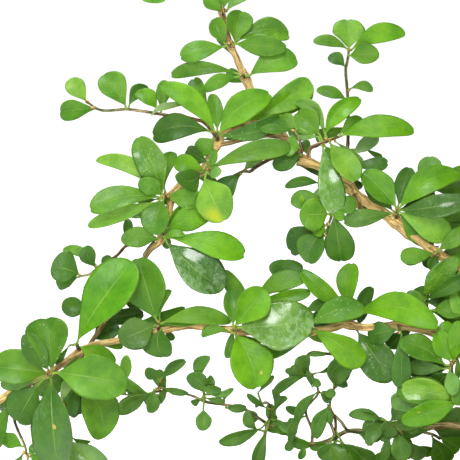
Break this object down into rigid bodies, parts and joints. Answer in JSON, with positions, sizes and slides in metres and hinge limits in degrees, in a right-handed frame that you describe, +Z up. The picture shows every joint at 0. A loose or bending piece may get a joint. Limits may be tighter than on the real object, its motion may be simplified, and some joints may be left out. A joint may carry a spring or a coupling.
{
  "type": "singapore holly bonsai",
  "caption": "Singapore holly bonsai with one long leafy branch reaching left, planted in a plain unglazed tray with drain holes.",
  "frame": {"origin": "centre of the tray's flat underside", "axes": "+Z up out of the tray, +X along the tray to the right as seen from the front, +Y away from the viewer"},
  "size_m": [0.3025, 0.1889, 0.2675],
  "materials": {
    "stoneware": "matte, unglazed",
    "netting": "matte",
    "earth": "matte, damp bonsai grit",
    "bark": "matte",
    "foliage": "satin, living leaf"
  },
  "bodies": {
    "root": {"tray": "stoneware", "drain_screen_left": "netting", "drain_screen_right": "netting", "soil": "earth", "trunk_and_limbs": "bark", "back_twig_far_right": "foliage", "back_twig_left": "foliage", "back_twig_left_end": "foliage", "back_twig_middle": "foliage", "back_twig_right": "foliage", "back_twig_rising": "foliage", "spray_behind_big_leaf": "foliage", "spray_bend": "foliage", "spray_big_leaf": "foliage", "spray_bottom_left": "foliage", "spray_centre": "foliage", "spray_centre_right": "foliage", "spray_elbow": "foliage", "spray_far_left": "foliage", "spray_heart": "foliage", "spray_hidden_limb": "foliage", "spray_knob": "foliage", "spray_left_end": "foliage", "spray_left_under": "foliage", "spray_limb_back": "foliage", "spray_limb_high": "foliage", "spray_limb_mid": "foliage", "spray_limb_right": "foliage", "spray_limb_top": "foliage", "spray_limb_under": "foliage", "spray_lower": "foliage", "spray_lower_limb": "foliage", "spray_right_low": "foliage", "spray_top_edge": "foliage", "stem_apex": "foliage", "stem_back_1": "foliage", "stem_back_2": "foliage", "stem_front_1": "foliage", "stem_front_2": "foliage", "stem_right_back_1": "foliage", "stem_right_back_2": "foliage", "stem_right_low_1": "foliage", "stem_right_low_2": "foliage", "stem_right_mid_1": "foliage", "stem_right_mid_2": "foliage", "stem_upper_front_1": "foliage", "stem_upper_left_1": "foliage", "stem_upper_left_2": "foliage", "stem_upper_right_1": "foliage", "twig_bottom_left": "foliage", "twig_centre_up": "foliage", "twig_fork_left": "foliage", "twig_fork_right": "foliage", "twig_inner": "foliage", "twig_left": "foliage", "twig_middle": "foliage", "twig_right_drooping": "foliage", "twig_right_rising": "foliage", "twig_right_up": "foliage", "twig_top_left": "foliage"}
  },
  "joints": []
}
